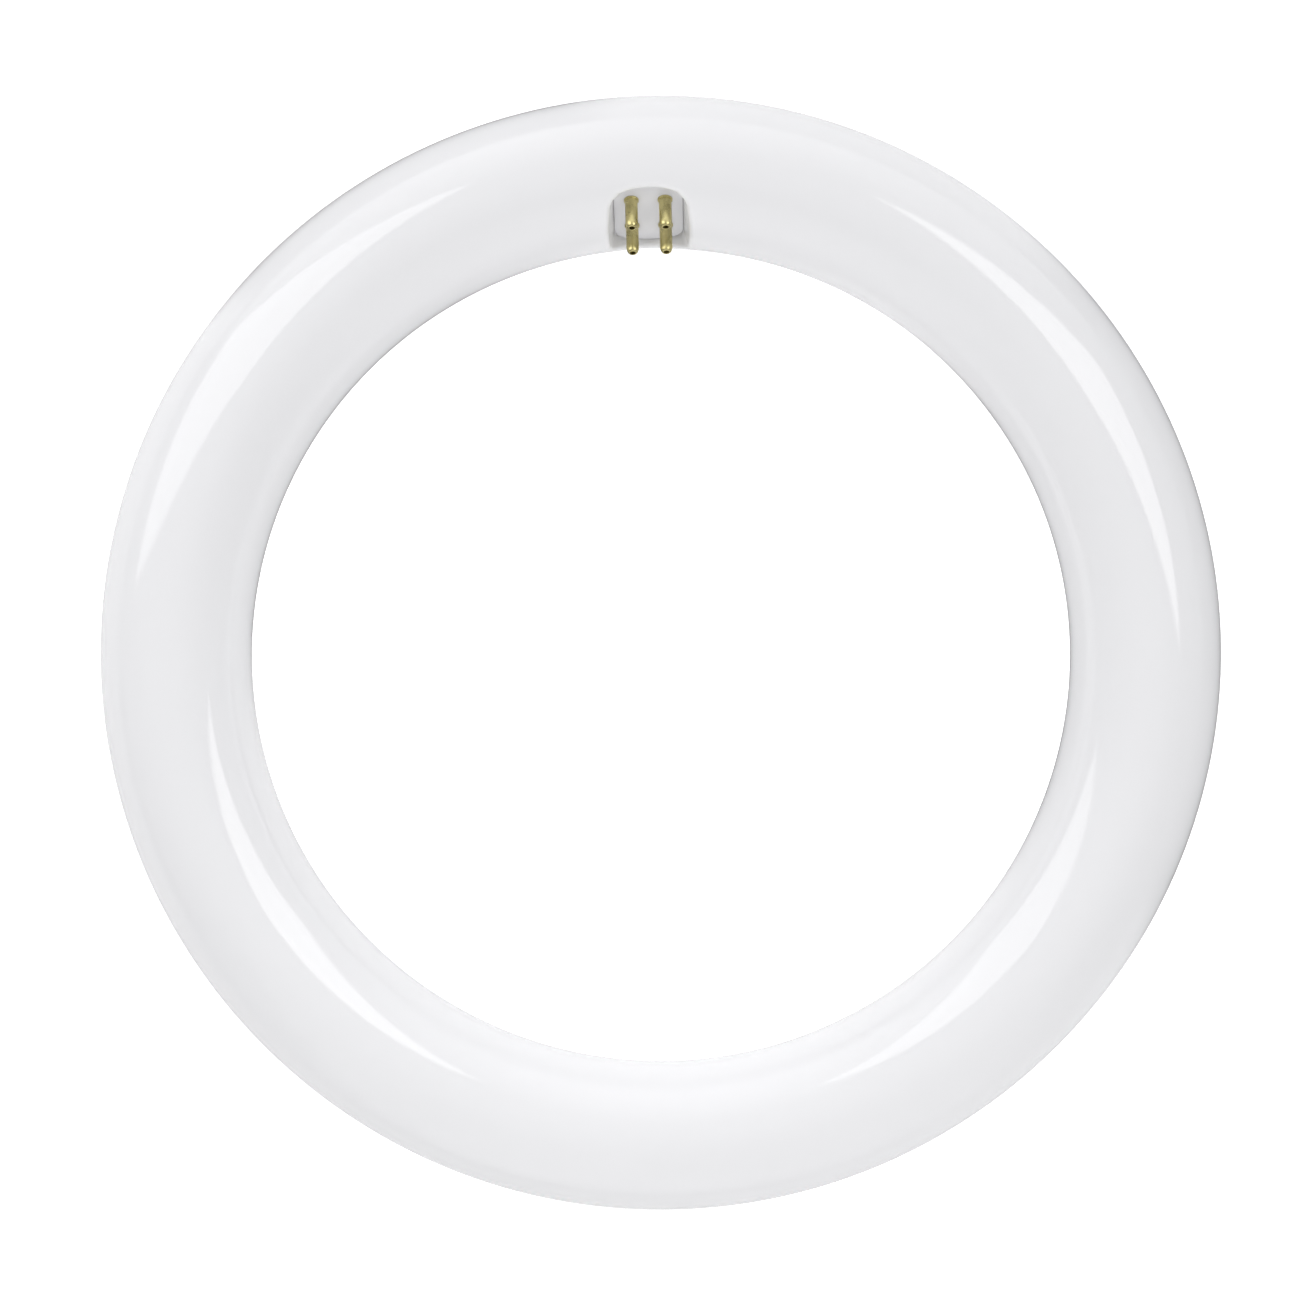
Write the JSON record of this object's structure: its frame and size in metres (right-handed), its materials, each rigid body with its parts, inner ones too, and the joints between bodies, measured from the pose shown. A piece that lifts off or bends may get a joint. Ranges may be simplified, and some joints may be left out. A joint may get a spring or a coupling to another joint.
{
  "type": "circular led tube",
  "caption": "Circular LED tube lamp: a sealed opal ring of round section with a recessed G10q base and contact pins.",
  "frame": {"origin": "on the surface that the ring lies on, at the ring's axis", "axes": "+Z is the ring's axis, up from the surface. +Y points from the ring's centre to the base, and the pins lean towards -Y and +Z. +X is along the tube at the base."},
  "size_m": [0.2159, 0.216, 0.029],
  "materials": {
    "opal_plastic": "glossy opal white polycarbonate, smooth and seamless",
    "base_plastic": "satin light grey moulded plastic",
    "pin_brass": "bare drawn brass, slightly dulled"
  },
  "bodies": {
    "root": {"opal_ring": "opal_plastic", "pin_base": "base_plastic", "contact_pin_1": "pin_brass", "contact_pin_2": "pin_brass", "contact_pin_3": "pin_brass", "contact_pin_4": "pin_brass"}
  },
  "joints": []
}
